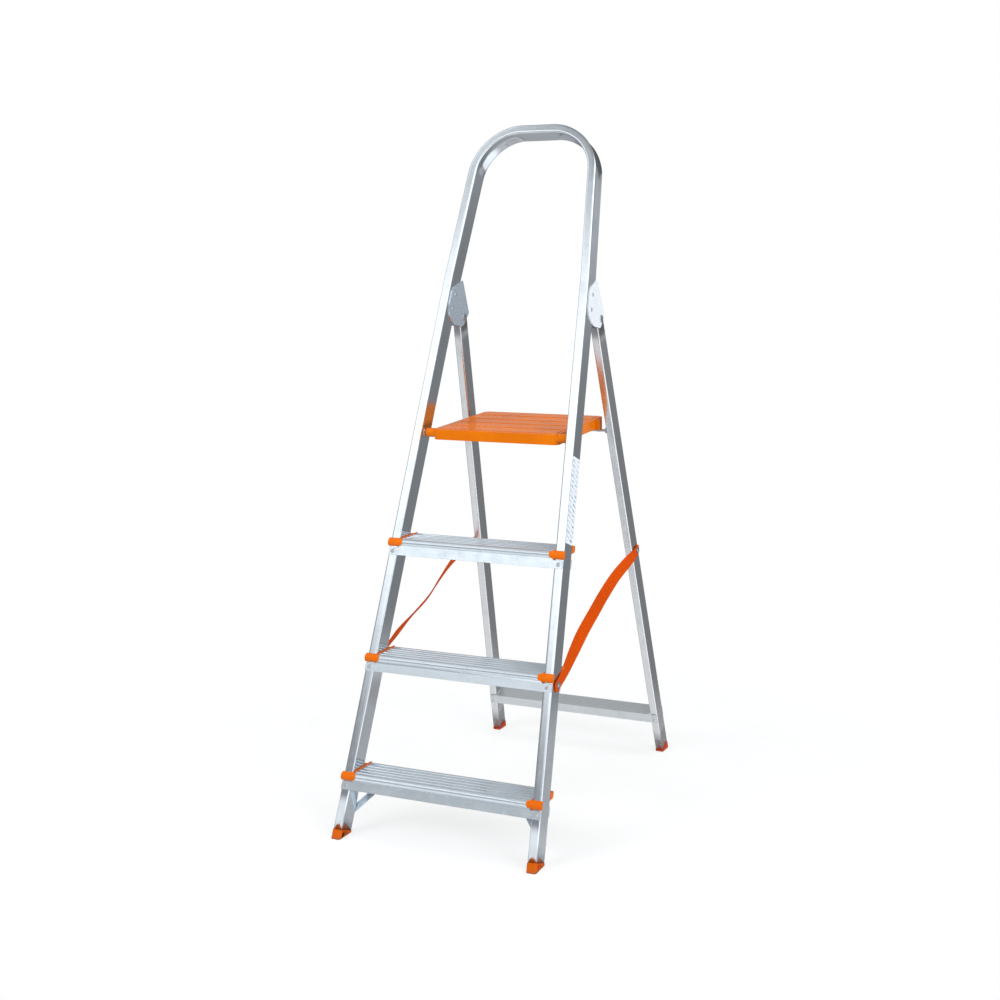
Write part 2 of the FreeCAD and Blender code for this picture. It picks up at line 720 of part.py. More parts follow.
def make_crossbar(drills):
    """Channel: a web between the legs and two flanges that lap over the legs' front and rear faces."""
    top = -crossbar_top_below_pivot
    low = top - crossbar_height
    sheet = crossbar_sheet
    deep = rear_depth / 2
    taper = math.tan(math.radians(rear_taper))
    outer = pivot_half + rear_width / 2 - top * taper
    inner = pivot_half - rear_width / 2 - top * taper - crossbar_web_gap
    flange_end = outer - crossbar_end_inset
    flange = [(-flange_end, top), (flange_end, top), (flange_end + crossbar_height * taper, low),
              (-flange_end - crossbar_height * taper, low)]
    front = prism_y(flange, -deep - sheet, -deep)
    rear = prism_y(flange, deep, deep + sheet)
    web = box(-inner, inner, -deep - sheet, deep + sheet, top - sheet, top)
    return across_rear(fuse([front, rear, web])).cut(group(drills))


def crossbar_spots():
    """Place of each crossbar rivet on a leg: (distance below the pivot, in front?)."""
    middle = crossbar_top_below_pivot + crossbar_height / 2
    return [(middle + step * crossbar_rivet_pitch / 2, in_front)
            for step in (-1, 1) for in_front in (True, False)]


def at_crossbar_rivet(shape, below, in_front, side):
    angle = -90 if in_front else 90
    reach = -rear_depth / 2 if in_front else rear_depth / 2
    return on_leg(turned(shape, AXIS_Z, angle, V(0, reach, -below)), side)


# ---- straps ----
def strap_anchor_low(offset):
    """Point on the right strap's lower rivet, this far outside the stile's outer face."""
    point = Part.Vertex(V(stile_width / 2 + offset, strap_low_depth, strap_low_along))
    return on_stile(point, RIGHT).Point


def strap_anchor_high(offset):
    point = Part.Vertex(V(rear_width / 2 + offset, strap_high_offset, -strap_high_below_pivot))
    return on_leg(point, RIGHT).Point


def make_strap(side):
    """Plain flat band from rivet to rivet, with its tails and its two holes."""
    low, high = strap_anchor_low(strap_gap), strap_anchor_high(strap_gap)
    along = (high - low).normalize()
    span = (high - low).Length
    normal = (AXIS_X - along * AXIS_X.dot(along)).normalize()
    across = normal.cross(along).normalize()
    half = strap_width / 2
    corners = [low - along * strap_tail - across * half, low + along * (span + strap_tail) - across * half,
               low + along * (span + strap_tail) + across * half, low - along * strap_tail + across * half]
    band = Part.Face(rounded_outline(corners, [strap_end_radius] * 4)).extrude(normal * strap_thickness)
    hole = rivet_shank_radius + 0.4
    band = band.cut(Part.makeCylinder(hole, 20, low - AXIS_X * 10, AXIS_X))
    band = band.cut(Part.makeCylinder(hole, 20, high - AXIS_X * 10, AXIS_X))
    return flip(band, side)


def strap_fixing(width):
    """Rivet and washer over a strap end, on a tube of this width, along X."""
    seat = width / 2 + strap_gap + strap_thickness + 0.7
    washer = rod_x(strap_washer_radius, seat, seat + strap_washer_thickness)
    washer = washer.cut(rod_x(rivet_shank_radius + rivet_clearance, seat - 1, seat + 5))
    head = rivet(seat + strap_washer_thickness, strap_washer_thickness + seat - width / 2 + rivet_tail)
    return [washer, head]


def placed_fixings(place, width, at):
    pieces = []
    for name, side in SIDES:
        for piece in strap_fixing(width):
            moved = piece.copy()
            moved.translate(at)
            pieces.append(place(moved, side))
    return pieces


def fixing_drills(place, width, at):
    drill = rod_x(rivet_shank_radius + rivet_clearance, width / 2 - 5, width / 2 + 5)
    drill.translate(at)
    return [place(drill, side) for name, side in SIDES]


# ---- build every piece ----
def build_front():
    drills = []
    tread_rivets = []
    for index in range(tread_count):
        for spot in tread_rivet_spots(index):
            face = tread_skirt
            tread_rivets.append(at_tread_rivet(rivet(face, face + stile_wall + rivet_tail), spot))
            drills.append(at_tread_rivet(rivet_drill(face, face + stile_wall + rivet_tail), spot))
    nodes["tread_rivets"] = group(tread_rivets)

    brace_grip = brace_thickness + brace_gap
    through_stile = brace_grip + stile_wall + rivet_tail
    through_tread = brace_grip + tread_plate
    rivets = brace_rivet_pieces(rivet(brace_grip, through_stile), rivet(brace_grip, through_tread))
    brace_drills = brace_rivet_pieces(rivet_drill(brace_grip, through_stile),
                                      rivet_drill(brace_grip, through_tread))
    nodes["brace_rivets"] = group([flip(piece, side) for piece in rivets for name, side in SIDES])
    drills += [flip(drill, side) for drill in brace_drills for name, side in SIDES]
    brace = make_brace(brace_drills)
    for name, side in SIDES:
        nodes["brace_" + name] = flip(brace, side)

    hinge_rivets = []
    for name, side in SIDES:
        for depth, along in hinge_rivet_spots():
            hinge_rivets.append(on_stile(make_hinge_rivet(depth, along), side))
            drills.append(on_stile(rod_x(rivet_shank_radius + rivet_clearance, -stile_width, stile_width,
                                         depth, along), side))
    nodes["hinge_plate_rivets"] = group(hinge_rivets)

    pivot_hole = rod_x(pivot_radius + rivet_clearance, -FAR, FAR, pivot_y, pivot_z)
    for name, side in SIDES:
        nodes["hinge_plate_outer_" + name] = make_plate(True, side, pivot_hole)
        nodes["hinge_plate_inner_" + name] = make_plate(False, side, pivot_hole)
    nodes["hinge_pivot_pins"] = group([make_pivot(side) for name, side in SIDES])

    axle_end = axle_half - stile_width / 2 + stile_wall + 5
    nodes["platform_axle"] = rod_x(axle_radius, -axle_end, axle_end, axle_y, axle_z)
    nodes["axle_washers"] = group([make_washer(side) for name, side in SIDES])
    hole = rod_x(axle_radius + rivet_clearance, -axle_end - 0.5, axle_end + 0.5, axle_y, axle_z)
    drills.append(hole)

    low_at = V(0, strap_low_depth, strap_low_along)
    nodes["strap_rivets_lower"] = group(placed_fixings(on_stile, stile_width, low_at))
    drills += fixing_drills(on_stile, stile_width, low_at)

    nodes["front_hoop"] = make_hoop(drills)
    for index in range(tread_count):
        nodes["tread_%d" % (index + 1)] = make_tread(index, drills)
        for name, side in SIDES:
            nodes["tread_clip_%d_%s" % (index + 1, name)] = make_clip(index, side)
    for name, side in SIDES:
        nodes["front_foot_" + name] = make_front_foot(side)
        nodes["strap_" + name] = make_strap(side)
    sticker = rounded_plate(-label_length / 2, label_length / 2, -label_width / 2, label_width / 2,
                            0, label_thickness, 2)
    sticker = turned(sticker, AXIS_Y, 90, V(stile_width / 2, stile_depth / 2, label_low + label_length / 2))
    nodes["side_label"] = on_stile(sticker, RIGHT)


def build_rear():
    drills = []
    rivets = []
    for name, side in SIDES:
        for below, in_front in crossbar_spots():
            face = crossbar_sheet
            piece = rivet(face, face + rear_wall + rivet_tail)
            drill = rivet_drill(face, face + rear_wall + rivet_tail)
            rivets.append(at_crossbar_rivet(piece, below, in_front, side))
            drills.append(at_crossbar_rivet(drill, below, in_front, side))
    nodes["crossbar_rivets"] = group(rivets)
    nodes["rear_crossbar"] = make_crossbar(drills)

    high_at = V(0, strap_high_offset, -strap_high_below_pivot)
    nodes["strap_rivets_upper"] = group(placed_fixings(on_leg, rear_width, high_at))
    drills += fixing_drills(on_leg, rear_width, high_at)

    drills.append(rod_x(pivot_radius + 0.08, -FAR, FAR, pivot_y, pivot_z))
    rod_below = (pivot_z - rod_z) * math.cos(back) + (rod_y - pivot_y) * math.sin(back)
    rod_half = pivot_half + rod_below * math.tan(math.radians(rear_taper))
    rod_end = rod_half - rear_width / 2 + rear_wall + 5
    nodes["rest_rod"] = rod_x(rod_radius, -rod_end, rod_end, rod_y, rod_z)
    drills.append(rod_x(rod_radius + rivet_clearance, -rod_end - 0.5, rod_end + 0.5, rod_y, rod_z))
    free_side = on_leg(box(-rear_width / 2, FAR, -FAR, FAR, -FAR, FAR), RIGHT)
    nut = rod_x(rod_radius + 3, rod_half - rear_width / 2 - 2.2, rod_half, rod_y, rod_z)
    nut = nut.cut(rod_x(rod_radius + rivet_clearance, 0, FAR, rod_y, rod_z)).cut(free_side)
    nodes["rest_rod_nuts"] = group([flip(nut, side) for name, side in SIDES])
    for name, side in SIDES:
        nodes["rear_leg_" + name] = make_leg(side, drills)
        nodes["rear_foot_" + name] = make_rear_foot(side)


build_front()
build_rear()
nodes["platform"] = make_platform()

# ---- move the origin under the middle of the ladder and write one file per node ----
front_edge = nodes["front_foot_right"].optimalBoundingBox(False, False).YMin
rear_edge = nodes["rear_foot_right"].optimalBoundingBox(False, False).YMax
shift = V(0, -(front_edge + rear_edge) / 2, 0)
os.makedirs("parts", exist_ok=True)
for node_name, node_shape in nodes.items():
    node_shape.translate(shift)
    node_shape.exportStep("parts/%s.step" % node_name)
    print("%-26s solids %2d  valid %s" % (node_name, len(node_shape.Solids), node_shape.isValid()))

print("depth       %.2f" % (rear_edge - front_edge))
print("hinge pivot y %.3f z %.3f" % (pivot_y + shift.y, pivot_z))
print("axle        y %.3f z %.3f" % (axle_y + shift.y, axle_z))
print("rest rod    y %.3f z %.3f" % (rod_y + shift.y, rod_z))
print("straps      span %.1f" % (strap_anchor_high(strap_gap) - strap_anchor_low(strap_gap)).Length)
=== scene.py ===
# %% [markdown]
# # A platform step ladder
# A front frame bent from one tube carries three treads and ends in a hand hoop. A rear frame
# hangs from a pair of hinge plates, and a moulded platform turns on an axle between the stiles
# and rests on a rod at the back. Two webbing straps stop the frames from sliding apart.
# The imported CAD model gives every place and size, so it is loaded first and never moved.

# %% Load the frame
import json
import math
import bmesh
import bpy
import numpy as np
from mathutils import Matrix, Vector


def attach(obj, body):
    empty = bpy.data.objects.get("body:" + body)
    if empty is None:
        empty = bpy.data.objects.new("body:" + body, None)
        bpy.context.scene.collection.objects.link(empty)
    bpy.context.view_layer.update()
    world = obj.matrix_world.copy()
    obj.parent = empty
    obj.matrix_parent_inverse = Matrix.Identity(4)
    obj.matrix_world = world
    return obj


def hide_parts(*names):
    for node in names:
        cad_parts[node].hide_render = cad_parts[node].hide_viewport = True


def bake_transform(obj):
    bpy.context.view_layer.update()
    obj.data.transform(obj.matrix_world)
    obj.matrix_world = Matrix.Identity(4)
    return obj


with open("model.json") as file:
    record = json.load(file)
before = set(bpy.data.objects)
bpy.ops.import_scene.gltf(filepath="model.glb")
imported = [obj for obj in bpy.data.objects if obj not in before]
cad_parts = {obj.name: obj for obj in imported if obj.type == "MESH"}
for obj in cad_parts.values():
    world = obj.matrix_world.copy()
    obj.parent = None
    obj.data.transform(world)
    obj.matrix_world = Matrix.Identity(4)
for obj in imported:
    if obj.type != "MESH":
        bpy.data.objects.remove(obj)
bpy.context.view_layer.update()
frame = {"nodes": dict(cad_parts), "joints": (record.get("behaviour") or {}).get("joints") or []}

MM = 0.001

# %% [markdown]
# ## Sizes that the pieces share
# The stiles lie in one plane that leans back from the floor. A point on them is easiest to name
# in that plane: across the ladder, behind the stiles' front faces, and up along the tube.
# The hinge pin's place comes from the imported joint, and the rest is measured from it.

# %% The front frame's leaning plane
lean = math.radians(20.6)
stile_taper = math.radians(2.84)
bow_taper = math.radians(4.4)
rear_lean = math.radians(16.3)
rear_taper = math.radians(2.9)
stile_width, stile_depth, stile_wall, stile_corner = 20 * MM, 46 * MM, 1.4 * MM, 3.5 * MM
rear_width, rear_depth, rear_wall, rear_corner = 18 * MM, 40 * MM, 1.3 * MM, 3 * MM
tube_end_gap = 3.5 * MM
pivot_along, pivot_depth = 1194 * MM, stile_depth + 44.7 * MM
foot_half_width = 237.6 * MM
stile_axis_half = foot_half_width - stile_width / 2 / math.cos(stile_taper)
pivot_half = stile_axis_half - pivot_along * math.tan(stile_taper)

joints = {joint["name"]: joint for joint in frame["joints"]}
hinge_point = Vector(joints["rear_fold"]["pos_m"])
leaning_up = Vector((0, math.sin(lean), math.cos(lean)))
leaning_back = Vector((0, math.cos(lean), -math.sin(lean)))
stile_foot = hinge_point - leaning_up * pivot_along - leaning_back * pivot_depth
leg_up = Vector((0, -math.sin(rear_lean), math.cos(rear_lean)))
leg_back = Vector((0, math.cos(rear_lean), math.sin(rear_lean)))


def in_front_plane(across, behind, along):
    """A point given across the ladder, behind the stiles' front faces and up along them."""
    return stile_foot + Vector((across, 0, 0)) + leaning_back * behind + leaning_up * along


def stile_axis_at(along):
    return stile_axis_half - along * math.tan(stile_taper)


print("stile foot", [round(c, 4) for c in stile_foot])

# %% [markdown]
# ## Stage
# The ladder stands on a plain pale floor in front of white. Bare aluminium shows what is round
# it more than its own colour, so the surroundings matter as much as the lamps: a wide bright
# panel high in front with a darker gap over it, a mid grey behind with a dark strip in it, and
# a bright panel to the right, which gives the tubes one bright face and one quiet face.

# %% Camera
camera_place = (1.3405, -2.9207, 1.2034)
camera_data = bpy.data.cameras.new("studio_camera")
camera_data.lens = 52.04
camera_data.sensor_width = 36
camera_data.shift_x = -0.0461
camera_data.shift_y = 0.0103
camera_data.clip_end = 60
camera = bpy.data.objects.new("studio_camera", camera_data)
bpy.context.scene.collection.objects.link(camera)
bpy.context.scene.camera = camera

turn, height_angle, roll = math.radians(23.305), math.radians(9.632), math.radians(-0.197)
back = Vector((math.sin(turn) * math.cos(height_angle), -math.cos(turn) * math.cos(height_angle),
               math.sin(height_angle)))
level_right = Vector((math.cos(turn), math.sin(turn), 0))
level_up = back.cross(level_right)
right = level_right * math.cos(roll) + level_up * math.sin(roll)
up = level_up * math.cos(roll) - level_right * math.sin(roll)
camera.matrix_world = Matrix.Translation(camera_place) @ Matrix(
    (right, up, back)).transposed().to_4x4()
print("camera", [round(c, 3) for c in camera.matrix_world.translation])


# %% [markdown]
# ## A short way to write node trees
# Finishes and repeating pieces are both node trees. `Wire` stands for a number running through a
# tree: sums written on it add Math nodes, so a formula reads like a formula. `Tree.node` adds any
# other node in one call, with its settings first and its sockets after.

# %% Wires and trees
class Wire:
    """A socket that carries a value. Arithmetic on it adds Math nodes to its tree."""

    def __init__(self, tree, socket):
        self.tree, self.socket = tree, socket

    def maths(self, operation, first, second=0.0, third=0.0):
        return self.tree.node("ShaderNodeMath", {"operation": operation},
                              {0: first, 1: second, 2: third})

    def __add__(self, other):
        return self.maths("ADD", self, other)

    def __radd__(self, other):
        return self.maths("ADD", other, self)

    def __sub__(self, other):
        return self.maths("SUBTRACT", self, other)

    def __rsub__(self, other):
        return self.maths("SUBTRACT", other, self)

    def __mul__(self, other):
        return self.maths("MULTIPLY", self, other)

    def __neg__(self):
        return self.maths("MULTIPLY", self, -1.0)

    def __gt__(self, other):
        return self.maths("GREATER_THAN", self, other)

    def sine(self):
        return self.maths("SINE", self)

    def size(self):
        return self.maths("ABSOLUTE", self)

    def part(self):
        """What is left after the whole number, so a pattern repeats."""
        return self.maths("FRACT", self)

    def least(self, other):
        return self.maths("MINIMUM", self, other)

    def most(self, other):
        return self.maths("MAXIMUM", self, other)

    def ramp(self, low, high, at_low=0.0, at_high=1.0):
        """Runs smoothly from at_low to at_high while the value goes from low to high."""
        return self.tree.node("ShaderNodeMapRange", {"interpolation_type": "SMOOTHSTEP"},
                              {0: self, 1: low, 2: high, 3: at_low, 4: at_high})


class Tree:
    """A node tree that is filled by code."""

    def __init__(self, nodes):
        self.nodes = nodes

    def node(self, kind, settings=None, sockets=None, out=0):
        made = self.nodes.nodes.new(kind)
        for name, value in (settings or {}).items():
            setattr(made, name, value)
        for name, value in (sockets or {}).items():
            if isinstance(value, Wire):
                self.nodes.links.new(value.socket, made.inputs[name])
            else:
                made.inputs[name].default_value = value
        return Wire(self, made.outputs[out]) if len(made.outputs) else made

    def split(self, vector):
        parts = self.node("ShaderNodeSeparateXYZ", None, {0: vector})
        return [Wire(self, socket) for socket in parts.socket.node.outputs]

    def joined(self, x, y, z):
        return self.node("ShaderNodeCombineXYZ", None, {0: x, 1: y, 2: z})

    def blend(self, factor, first, second):
        """A colour between two others."""
        return self.node("ShaderNodeMix", {"data_type": "RGBA"}, {0: factor, 6: first, 7: second}, 2)

    def noise(self, vector, scale, detail=2.0, roughness=0.5):
        return self.node("ShaderNodeTexNoise", None, {"Vector": vector, "Scale": scale,
                                                      "Detail": detail, "Roughness": roughness})

    def stretched(self, vector, scale):
        return self.node("ShaderNodeMapping", None, {"Vector": vector, "Scale": scale})


class Finish(Tree):
    """A material made of one main shader and the tree that feeds it."""

    def __init__(self, name):
        self.material = bpy.data.materials.new(name)
        self.material.use_nodes = True
        super().__init__(self.material.node_tree)
        self.nodes.nodes.clear()
        self.place = self.node("ShaderNodeTexCoord", out="Object")
        self.chart = Wire(self, self.place.socket.node.outputs["UV"])

    def close(self, bump=None, **sockets):
        """Adds the shader, with bump as (height, strength, distance)."""
        named = {name.replace("_", " "): value for name, value in sockets.items()}
        if bump:
            height, strength, distance = bump
            named["Normal"] = self.node("ShaderNodeBump", None, {
                "Height": height, "Strength": strength, "Distance": distance})
        shader = self.node("ShaderNodeBsdfPrincipled", None, named)
        self.node("ShaderNodeOutputMaterial", None, {"Surface": shader})
        return self.material


print("node helpers ready")

# %% [markdown]
# ## Surroundings and lamps
# The white that the camera sees and the surroundings that the metal mirrors are two different
# backgrounds, chosen by whether a ray comes straight from the camera. The second is a smooth
# gradient on the ray's direction.

# %% World
world = bpy.data.worlds.new("studio")
bpy.context.scene.world = world
world.use_nodes = True
world.node_tree.nodes.clear()
sky = Tree(world.node_tree)
direction = sky.node("ShaderNodeTexCoord", out="Generated")
toward_x, toward_y, toward_z = sky.split(direction)
in_front = (-toward_y).ramp(-0.05, 0.35)
panel_top = toward_z - (toward_x + 0.37) * 0.25
bright_band = toward_z.ramp(0.30, 0.42) * panel_top.ramp(0.60, 0.66, 1.0, 0.0)
above_band = panel_top.ramp(0.648, 0.668)
floor_glow = toward_z.ramp(-0.40, -0.10, 1.0, 0.0)
high_left = toward_x.ramp(-0.45, -0.37, 0.80, 0.04)
front_level = 0.30 + bright_band * 1.15 + above_band * high_left + floor_glow * 0.65
dark_strip = (toward_x.ramp(-0.30, -0.16) * toward_z.ramp(0.09, 0.17)
              * toward_z.ramp(0.5, 0.7, 1.0, 0.3))
deep_rear = toward_z.ramp(-0.60, -0.34, 0.20, 0.0)
rear_level = (toward_z.ramp(-0.06, 0.08, 0.24, 0.50) + deep_rear) * (1 - dark_strip * 0.75)
side_panel = toward_x.ramp(0.45, 0.72) * toward_y.ramp(0.40, 0.70, 0.9, 0.0)
level = front_level * in_front + rear_level * (1 - in_front) + side_panel
tint = sky.blend(in_front, (0.92, 0.96, 1.0, 1), (0.93, 0.97, 1.0, 1))
seen = sky.node("ShaderNodeBackground", None, {"Color": (1, 1, 1, 1), "Strength": 1.0})
mirrored = sky.node("ShaderNodeBackground", None, {"Color": tint, "Strength": level})
is_camera = sky.node("ShaderNodeLightPath", out="Is Camera Ray")
sky.node("ShaderNodeOutputWorld", None, {"Surface": sky.node(
    "ShaderNodeMixShader", None, {0: is_camera, 1: mirrored, 2: seen})})


# %% Lamps and floor
def soft_lamp(name, place, aim, size, power, colour=(1, 1, 1)):
    data = bpy.data.lights.new(name, "AREA")
    data.shape, data.size, data.size_y, data.energy, data.color = "RECTANGLE", *size, power, colour
    lamp = bpy.data.objects.new(name, data)
    bpy.context.scene.collection.objects.link(lamp)
    lamp.location = place
    lamp.rotation_euler = (Vector(place) - Vector(aim)).to_track_quat("Z", "Y").to_euler()
    lamp.visible_glossy = False
    return lamp


soft_lamp("key_panel", (-1.9, -3.2, 2.7), (0, 0, 0.8), (2.2, 1.6), 82)
soft_lamp("fill_panel", (3.0, -1.6, 2.2), (0, 0, 0.6), (1.8, 1.8), 30)
soft_lamp("top_panel", (0.2, 0.6, 3.6), (0, 0, 0.5), (2.4, 2.4), 34)

bpy.ops.mesh.primitive_circle_add(vertices=96, radius=1.3, fill_type="NGON")
floor = bpy.context.object
floor.name = "studio_floor"
paper = Finish("pale_paper")
grain = paper.noise(paper.place, 6.0, 3.0)
east, north, _ = paper.split(paper.place)
from_middle = (east * east + north * north).ramp(0.3, 1.6, 0.30, 0.0)
floor.data.materials.append(paper.close(
    Base_Color=paper.blend(grain.ramp(0.3, 0.7), (0.93, 0.935, 0.94, 1), (0.955, 0.958, 0.96, 1)),
    Roughness=0.9, Alpha=from_middle))
bpy.context.scene.view_settings.view_transform = "Standard"

# %% [markdown]
# ## Bare aluminium
# Extruded tube comes out of its die with fine straight lines along its length and is left bare,
# so its gloss drifts in long soft streaks, with cloudy patches where it has been handled. The
# streaks need to follow each tube round its bends, so they read the piece's own chart (its UV
# map), which holds the distance round the tube and the distance along it in metres.

# %% Drawn aluminium for the tubes
def drawn_aluminium(name, colour, base_roughness, streak_width=0.0016, patch=1.0):
    finish = Finish(name)
    chart = finish.chart
    fine = finish.noise(finish.stretched(chart, (1 / streak_width, 5.0, 1.0)), 1.0, 3.0, 0.6)
    broad = finish.noise(finish.stretched(chart, (140.0, 2.2, 1.0)), 1.0, 2.0)
    cloud = finish.noise(finish.place, 26.0, 4.0, 0.62)
    scuffs = finish.noise(finish.stretched(finish.place, (70.0, 70.0, 420.0)), 1.0, 2.0, 0.7)
    scuffed = scuffs.ramp(0.66, 0.74)
    dull = (cloud.ramp(0.42, 0.70) * 0.6 + broad.ramp(0.35, 0.7) * 0.4) * patch
    shade = 0.84 + broad * 0.14 + fine * 0.10 - dull * 0.10
    bright = finish.blend(shade.least(1.0), (0.0, 0.0, 0.0, 1), colour)
    return finish.close(
        Base_Color=bright, Metallic=1.0,
        Roughness=base_roughness + fine * 0.07 + dull * 0.09 + scuffed * 0.08,
        bump=(fine * 0.7 + cloud * 0.5 + scuffed * 0.3, 0.22, 0.0003))


tube_aluminium = drawn_aluminium("drawn_aluminium", (0.82, 0.86, 0.90, 1), 0.08)
leg_aluminium = drawn_aluminium("drawn_aluminium_rear", (0.74, 0.74, 0.745, 1), 0.18)


# %% Rolled and extruded aluminium without a chart
def plain_aluminium(name, colour, base_roughness, grain, grain_scale, metallic=1.0, pitted=0.06):
    """For flat pressings and extrusions: grain is a stretch along X, Y and Z."""
    finish = Finish(name)
    fine = finish.noise(finish.stretched(finish.place, grain), grain_scale, 3.0, 0.6)
    cloud = finish.noise(finish.place, 34.0, 4.0, 0.6)
    pits = finish.noise(finish.place, 950.0, 1.0)
    dull = cloud.ramp(0.40, 0.72)
    shade = (0.88 + fine * 0.12 - dull * 0.05).least(1.0)
    return finish.close(
        Base_Color=finish.blend(shade, (0.0, 0.0, 0.0, 1), colour), Metallic=metallic,
        Roughness=base_roughness + fine * 0.09 + dull * 0.10,
        bump=(fine * 0.6 + pits * pitted + cloud * 0.4, 0.20, 0.0003))


tread_aluminium = plain_aluminium("ribbed_tread_aluminium", (0.73, 0.79, 0.84, 1), 0.14,
                                  (0.6, 110.0, 110.0), 6.0, metallic=0.76)
bar_aluminium = plain_aluminium("channel_aluminium", (0.66, 0.685, 0.69, 1), 0.24,
                                (0.6, 110.0, 110.0), 6.0, metallic=0.8)
sheet_aluminium = plain_aluminium("pressed_sheet_aluminium", (0.66, 0.76, 0.85, 1), 0.20,
                                  (60.0, 8.0, 60.0), 4.0, metallic=0.66, pitted=0.0)
# Painted light: a near-white, almost non-metallic copy of the sheet aluminium for the outer hinge plates,
# so that their seen faces look lit.
painted_bright_sheet = plain_aluminium("sheet_aluminium_painted_bright", (0.86, 0.885, 0.92, 1), 0.34,
                             (60.0, 8.0, 60.0), 4.0, metallic=0.06, pitted=0.0)
rivet_aluminium = plain_aluminium("rivet_aluminium", (0.70, 0.71, 0.73, 1), 0.30,
                                  (30.0, 30.0, 30.0), 20.0)
plated_steel = plain_aluminium("zinc_plated_steel", (0.55, 0.56, 0.58, 1), 0.24,
                               (4.0, 60.0, 60.0), 10.0)
print("metals ready")


# %% [markdown]
# ## Moulded plastic
# The clips, feet and platform are injection moulded: one colour all through, a very fine spark
# texture on the skin, and a soft gloss. Where a foot rubs the floor it turns grey and dull.

# %% Orange plastics
def moulded_plastic(name, colour, deep, roughness, scuff_height=0.0, specular=0.15):
    finish = Finish(name)
    spark = finish.noise(finish.place, 1500.0, 2.0, 0.6)
    flow = finish.noise(finish.place, 18.0, 3.0)
    tone = finish.blend(flow.ramp(0.35, 0.72), deep, colour)
    gloss = roughness + spark * 0.10 + flow * 0.08
    if scuff_height:
        height = finish.split(finish.place)[2]
        patchy = finish.noise(finish.place, 240.0, 3.0, 0.7)
        worn = (height + patchy * 0.006).ramp(0.002, scuff_height, 1.0, 0.0)
        tone = finish.blend(worn * 0.7, tone, (0.16, 0.08, 0.05, 1))
        gloss = gloss + worn * 0.3
    return finish.close(Base_Color=tone, Roughness=gloss, Specular_IOR_Level=specular,
                        bump=(spark, 0.10, 0.0002))


orange_plastic = moulded_plastic("orange_plastic", (0.72, 0.145, 0.001, 1), (0.66, 0.122, 0.001, 1), 0.22)
foot_plastic = moulded_plastic("foot_plastic", (0.64, 0.122, 0.001, 1), (0.54, 0.092, 0.001, 1),
                               0.34, 0.010)
# Painted shade: the rear feet are the same orange plastic as the front feet, given a darker, redder copy
# so that they look shaded.
painted_shade_foot_plastic = moulded_plastic("painted_shade_foot_plastic", (0.62, 0.055, 0.006, 1),
                                    (0.5, 0.04, 0.005, 1), 0.40, 0.008)
platform_plastic = moulded_plastic("platform_plastic", (0.74, 0.175, 0.001, 1),
                                   (0.67, 0.150, 0.001, 1), 0.16, specular=0.12)
print("plastics ready")

# %% [markdown]
# ## Webbing and label
# Polyester webbing is woven with fat cords along its length and a fine cross thread that ties
# them down in a twill, and its edges are bound a little tighter. The chart holds the distance
# across the strap and along it. The label is white film with plain slanted bars.

# %% Webbing
strap_width, strap_thickness = 25 * MM, 1.5 * MM
webbing = Finish("orange_webbing")
across, along, _ = webbing.split(webbing.chart)
cord_count = 16
cord = (across * (2 * math.pi * cord_count / strap_width)).sine()
twill = ((along * 900.0 + across * 620.0) * 2.0).sine()
rib = cord.size() * 0.6 + twill * 0.25
edge = (across - strap_width / 2).size().ramp(strap_width * 0.44, strap_width * 0.5)
mottle = webbing.noise(webbing.stretched(webbing.chart, (180.0, 60.0, 1.0)), 1.0, 3.0)
soil = webbing.noise(webbing.place, 20.0, 2.0).ramp(0.5, 0.8)
thread = webbing.blend((rib * 0.5 + 0.35 + mottle * 0.3).least(1.0).most(0.0),
                       (0.40, 0.034, 0.000, 1), (0.72, 0.084, 0.000, 1))
thread = webbing.blend(edge * 0.35 + soil * 0.12, thread, (0.50, 0.06, 0.004, 1))
strap_webbing = webbing.close(Base_Color=thread, Roughness=0.72 + rib * 0.10, Specular_IOR_Level=0.1,
                              bump=(rib + mottle * 0.4, 0.55, 0.0005))

# %% Label film
label_low, label_length, label_width = 676 * MM, 186 * MM, 38 * MM
film = Finish("label_film")
wide, tall, _ = film.split(film.chart)
row = tall * 92.0 + wide * 30.0
slot = row.part()
bar = slot.ramp(0.20, 0.30) * slot.ramp(0.74, 0.84, 1.0, 0.0)
column = (wide * (2 / label_width)).part()
bar = bar * column.ramp(0.08, 0.13) * column.ramp(0.87, 0.92, 1.0, 0.0)
fleck = film.noise(film.stretched(film.chart, (430.0, 190.0, 1.0)), 1.0, 2.0).ramp(0.40, 0.62)
block = film.noise(film.stretched(film.chart, (60.0, 44.0, 1.0)), 1.0, 1.0).ramp(0.44, 0.60)
bar = bar * (0.15 + fleck * 0.85) * (0.55 + block * 0.45)
margin = (wide - label_width / 2).size().ramp(label_width * 0.44, label_width * 0.46, 1.0, 0.0)
end_margin = (tall - label_length / 2).size().ramp(label_length * 0.475, label_length * 0.48, 1.0, 0.0)
printed = bar * margin * end_margin
grubby = film.noise(film.place, 45.0, 3.0)
ink = film.blend(printed, (0.84, 0.88, 0.93, 1), (0.10, 0.15, 0.24, 1))
label_film = film.close(Base_Color=film.blend(grubby * 0.10, ink, (0.70, 0.72, 0.74, 1)),
                        Roughness=0.30 + grubby * 0.12, bump=(grubby + printed * 0.2, 0.08, 0.0002))
print("webbing and film ready")


# %% [markdown]
# ## Pieces made from the CAD solids
# Most moulded and pressed pieces already have the right shape, but a CAD edge is perfectly sharp,
# and a real one is slightly round and catches a line of light. A copy of each mesh is merged back
# into whole faces and given a small bevel, and the copy then stands for the CAD node.

# %% Softened copies
def mesh_piece(name, vertices, faces, finish, body, replaced=(), angle=32):
    mesh = bpy.data.meshes.new(name)
    mesh.from_pydata([tuple(v) for v in vertices], [], faces)
    return dress(name, mesh, finish, body, replaced, angle)


